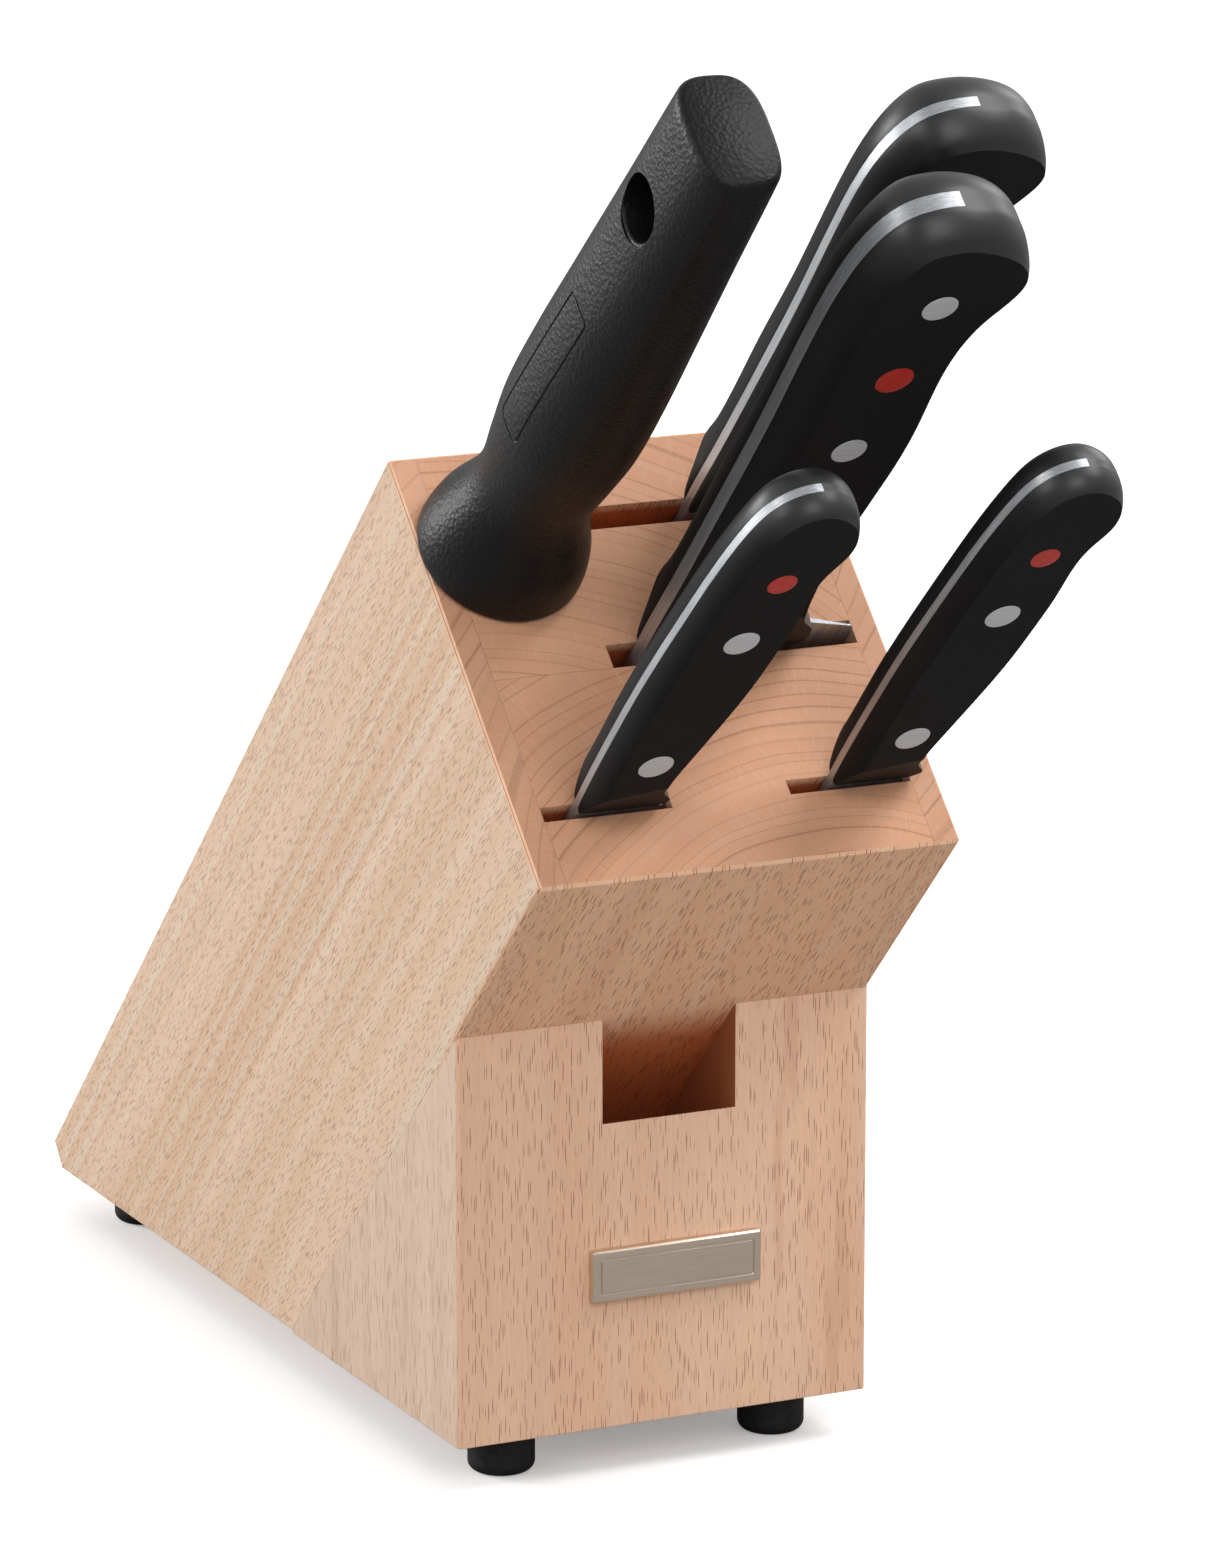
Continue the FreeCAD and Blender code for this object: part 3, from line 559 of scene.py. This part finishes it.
def cut(target, tool):
    """Subtracts a closed bmesh from an object's mesh."""
    data = bpy.data.meshes.new("tool")
    bmesh.ops.recalc_face_normals(tool, faces=tool.faces)
    tool.to_mesh(data)
    tool.free()
    cutter = bpy.data.objects.new("tool", data)
    bpy.context.scene.collection.objects.link(cutter)
    modifier = target.modifiers.new("cut", "BOOLEAN")
    modifier.operation = "DIFFERENCE"
    modifier.solver = "EXACT"
    modifier.object = cutter
    bpy.context.view_layer.update()
    evaluated = target.evaluated_get(bpy.context.evaluated_depsgraph_get())
    result = bpy.data.meshes.new_from_object(evaluated)
    target.modifiers.clear()
    target.data = result
    bpy.data.objects.remove(cutter)
    bpy.data.meshes.remove(data)


def steel_grip(material):
    mesh = bmesh.new()
    rim = RIM_HEIGHTS[-1]
    even = [rim + GRIP_STEP * i for i in range(1, int((TURN_IN - rim) / GRIP_STEP) + 1)]
    heights = RIM_HEIGHTS + even + [TURN_IN] + END_HEIGHTS
    add_loft(mesh, [grip_ring(s) for s in heights], STEEL)
    grip = piece("steel_grip", mesh, material, "honing_steel", "grained_plastic", "steel_handle")
    cut(grip, hole_tool())
    cut(grip, plate_tool())
    grip.data.shade_smooth()
    grip.data.set_sharp_from_angle(angle=GRIP_SHARP_ANGLE)


ROD_RADIUS = 4.6
ROD_DEEP = 0.22
ROD_FLUTES = 40
FLUTE_STEPS = 4
ROD_LENGTH = 205.0
ROD_INSIDE = 8.0
ROD_ROWS = 12
# The rod's rounded tip: how much thinner it is, at heights above its lower end
ROD_NOSE = ((2.2, 0.0), (1.2, 0.4), (0.4, 1.4))
ROD_TIP = 3.0


def fluted_ring(radius, s):
    ring = []
    count = ROD_FLUTES * FLUTE_STEPS
    for i in range(count):
        angle = 2 * math.pi * i / count
        r = radius - ROD_DEEP * (0.5 - 0.5 * math.cos(ROD_FLUTES * angle))
        ring.append((r * math.cos(angle) * MM, r * math.sin(angle) * MM, s * MM))
    return ring


def steel_rod(material):
    mesh = bmesh.new()
    low = -ROD_LENGTH
    rings = [fluted_ring(ROD_RADIUS - thinner, low + height) for thinner, height in ROD_NOSE]
    rings += [fluted_ring(ROD_RADIUS, low + ROD_TIP + (ROD_LENGTH - ROD_TIP + ROD_INSIDE) * i / ROD_ROWS)
              for i in range(ROD_ROWS + 1)]
    add_loft(mesh, rings, STEEL)
    piece("steel_fluted_rod", mesh, material, "honing_steel", "rod_steel", "steel_rod")


# ---------------------------------------------------------------- rivets and inlays

def islands(node):
    """The box (low, high) round each separate solid of a CAD node, as (x, t, s), lowest first."""
    mesh = bmesh.new()
    mesh.from_mesh(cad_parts[node].data)
    bmesh.ops.remove_doubles(mesh, verts=mesh.verts, dist=0.01 * MM)
    inverse = SLOTS.inverted()
    left = set(mesh.verts)
    boxes = []
    while left:
        reached = [left.pop()]
        points = []
        while reached:
            vertex = reached.pop()
            points.append(inverse @ vertex.co)
            for edge in vertex.link_edges:
                other = edge.other_vert(vertex)
                if other in left:
                    left.remove(other)
                    reached.append(other)
        low = Vector(min(p[k] for p in points) for k in range(3))
        high = Vector(max(p[k] for p in points) for k in range(3))
        boxes.append((low, high))
    mesh.free()
    return sorted(boxes, key=lambda pair: pair[0].z)


def buttons(name, node, material, body, slot, proud, rim, both_sides):
    """Discs with a rounded rim and a slightly crowned face, one for each pin of a CAD node."""
    mesh = bmesh.new()
    for low, high in islands(node):
        radius = (high.x - low.x) / 2
        centre = (low + high) / 2
        half = (high.y - low.y) / 2
        profile = [(radius * 0.35, half + proud), (radius * 0.7, half + proud * 0.75),
                   (radius - rim, half + proud * 0.4), (radius - rim * 0.35, half + proud * 0.1),
                   (radius - rim * 0.05, half - rim * 0.6)]
        back = profile if both_sides else [(radius - rim * 0.05, half)]
        # the front lies towards lower t, so the turned axis points along minus t
        turned = Matrix.Translation(centre) @ Matrix.Rotation(math.pi / 2, 4, "X")
        rings = [circle(r, -h) for r, h in back] + [circle(r, h) for r, h in reversed(profile)]
        add_loft(mesh, rings, SLOTS @ turned)
    piece(name, mesh, material, body, slot, node)


# ---------------------------------------------------------------- studio

CAMERA_FROM_WEDGE = Vector((-586.2, -1208.6, 447.4)) * MM
CAMERA_LOOKS = Vector((0.41728, 0.87828, -0.23347))
LENS = 174.15
SENSOR = 36.0
FLOOR_REACH = 12.0
FLOOR_GLOW = 0.27
FLOOR_PALE = tint(250, 250, 250)
FLOOR_VEIL = tint(247, 247, 247)
FLOOR_BOUNCE = tint(158, 156, 154)
WHITE = (1.0, 1.0, 1.0, 1.0)
SKY_STRENGTH = 0.55
# Name, place round the object, size in metres, power in watts
LAMPS = (
    ("key", Vector((-2.1, -0.3, 1.1)), 0.9, 11.0),
    ("rim", Vector((-1.5, 1.7, 0.55)), 0.8, 31.0),
    ("front", Vector((-0.2, -2.1, 1.3)), 1.2, 14.0),
    ("high", Vector((1.3, -0.5, 1.8)), 1.2, 25.0),
    ("right", Vector((1.8, 0.9, 1.0)), 0.8, 6.0),
)


def camera():
    data = bpy.data.cameras.new("camera")
    data.lens = LENS
    data.sensor_width = SENSOR
    made = bpy.data.objects.new("camera", data)
    made.location = WEDGE_FOOT + CAMERA_FROM_WEDGE
    made.rotation_mode = "QUATERNION"
    made.rotation_quaternion = CAMERA_LOOKS.to_track_quat("-Z", "Y")
    bpy.context.scene.collection.objects.link(made)
    bpy.context.scene.camera = made


def lamps():
    middle = (CAD_BOX[0] + CAD_BOX[1]) / 2
    for name, place, size, power in LAMPS:
        data = bpy.data.lights.new(name, "AREA")
        data.size = size
        data.energy = power
        made = bpy.data.objects.new(name, data)
        made.location = middle + place
        made.rotation_mode = "QUATERNION"
        made.rotation_quaternion = (-place).to_track_quat("-Z", "Y")
        bpy.context.scene.collection.objects.link(made)


def sky_light():
    world = bpy.data.worlds.new("studio")
    world.use_nodes = True
    sky = world.node_tree.nodes["Background"]
    sky.inputs["Color"].default_value = WHITE
    sky.inputs["Strength"].default_value = SKY_STRENGTH
    bpy.context.scene.world = world


def floor_paint():
    """A pale floor, overexposed where it is looked at, that sends less light up at the object."""
    s = Shader("studio_floor", roughness=0.9, specular=0.1)
    veil = s.noise(s.place, scale=3.0, detail=2.0)
    seen = s.nodes.new("ShaderNodeLightPath").outputs["Is Camera Ray"]
    pale = s.mix(s.span(veil, 0.3, 0.7), FLOOR_PALE, FLOOR_VEIL)
    s.surface.inputs["Emission Color"].default_value = WHITE
    s.put(s.surface.inputs["Emission Strength"], s.math("MULTIPLY", seen, FLOOR_GLOW))
    return s.finish(s.mix(seen, FLOOR_BOUNCE, pale))


def studio_floor():
    mesh = bmesh.new()
    reach = FLOOR_REACH
    mesh.faces.new([mesh.verts.new((x, y, CAD_BOX[0].z)) for x, y in
                    ((-reach, -reach), (reach, -reach), (reach, reach), (-reach, reach))])
    data = bpy.data.meshes.new("floor")
    mesh.to_mesh(data)
    mesh.free()
    data.materials.append(floor_paint())
    floor = bpy.data.objects.new("floor", data)
    bpy.context.scene.collection.objects.link(floor)


# ---------------------------------------------------------------- the object

def dress_block():
    outer = dict(slanted=True, dashes=0.75, dash_pitch=(0.36, 5.0), least=0.08, bands=0.6,
                 light=tint(248, 202, 168), dark=tint(239, 190, 154))
    core = dict(slanted=True, dashes=0.8, dash_pitch=(0.44, 7.4), least=0.04, bands=0.3,
                light=tint(250, 202, 166), dark=tint(243, 192, 155))
    boards = {
        "left_side_board": dict(outer, pith=(50.0, -25.0), centre=115.0, ring=3.1 * MM, seed=1.3),
        "right_side_board": dict(outer, pith=(-54.0, 118.0), centre=115.0, ring=3.2 * MM, seed=4.1),
        "front_core_board": dict(core, pith=(17.0, -44.0), centre=52.0, ring=2.9 * MM, seed=2.7,
                                 shade_in_hollows="slots"),
        "rear_core_board": dict(core, pith=(-44.0, -14.0), centre=85.0, ring=2.8 * MM, seed=8.9,
                                shade_in_hollows="slots"),
        "wedge_block": dict(slanted=False, pith=(16.0, 128.0), centre=128.0, ring=3.4 * MM, seed=6.2,
                            dashes=0.65, dash_pitch=(0.44, 9.0), least=0.03, bands=0.2, streaks=0.35,
                            light=tint(243, 201, 171), dark=tint(237, 193, 162), shade_in_hollows="walls"),
    }
    for node, settings in boards.items():
        dress(node, beech(node + "_beech", **settings))
    upright = (((1, 0, 0), 60.0), ((0, 1, 0), 900.0), ((0, 0, 1), 5200.0))
    dress("badge", brushed_metal("badge_nickel", tint(232, 218, 202), tint(212, 198, 182), upright, 0.34))
    black = rubber()
    for side in ("left", "right"):
        for end in ("front", "rear"):
            dress("foot_" + end + "_" + side, black)
    dress("foot_screws", brushed_metal("screw_steel", tint(190, 190, 192), tint(150, 150, 152),
                                       upright, 0.3))


def dress_knives():
    lengthways = (((1, 0, 0), 700.0), (tuple(THROUGH), 5000.0), (tuple(UP_SLOT), 60.0))
    crossways = (((1, 0, 0), 60.0), (tuple(THROUGH), 900.0), (tuple(UP_SLOT), 4200.0))
    blade = brushed_metal("blade_steel", tint(196, 199, 203), tint(150, 153, 157), lengthways, 0.4,
                          metallic=0.85)
    rivet = brushed_metal("rivet_metal", tint(226, 228, 231), tint(208, 210, 213), crossways, 0.55,
                          metallic=0.6)
    red = red_enamel()
    for number, knife in enumerate(KNIVES):
        plastic = scale_plastic(knife + "_plastic", 3.0 * number)
        dress(knife + "_blade", blade)
        dress(knife + "_front_scale", plastic)
        dress(knife + "_rear_scale", plastic)
        buttons(knife + "_rivet_heads", knife + "_rivets", rivet, knife, "rivet_metal",
                proud=0.1 * MM, rim=0.25 * MM, both_sides=True)
        buttons(knife + "_red_dot", knife + "_inlay", red, knife, "inlay_red",
                proud=0.05 * MM, rim=0.15 * MM, both_sides=False)


camera()
lamps()
sky_light()
studio_floor()
bpy.context.scene.view_settings.view_transform = "Standard"
dress_block()
dress_knives()
steel_grip(grained_plastic("grained_plastic"))
flutes = (((1, 0, 0), 900.0), (tuple(THROUGH), 900.0), (tuple(UP_SLOT), 40.0))
steel_rod(brushed_metal("rod_steel", tint(206, 207, 209), tint(176, 177, 179), flutes, 0.45,
                        strength=0.04, metallic=0.85))
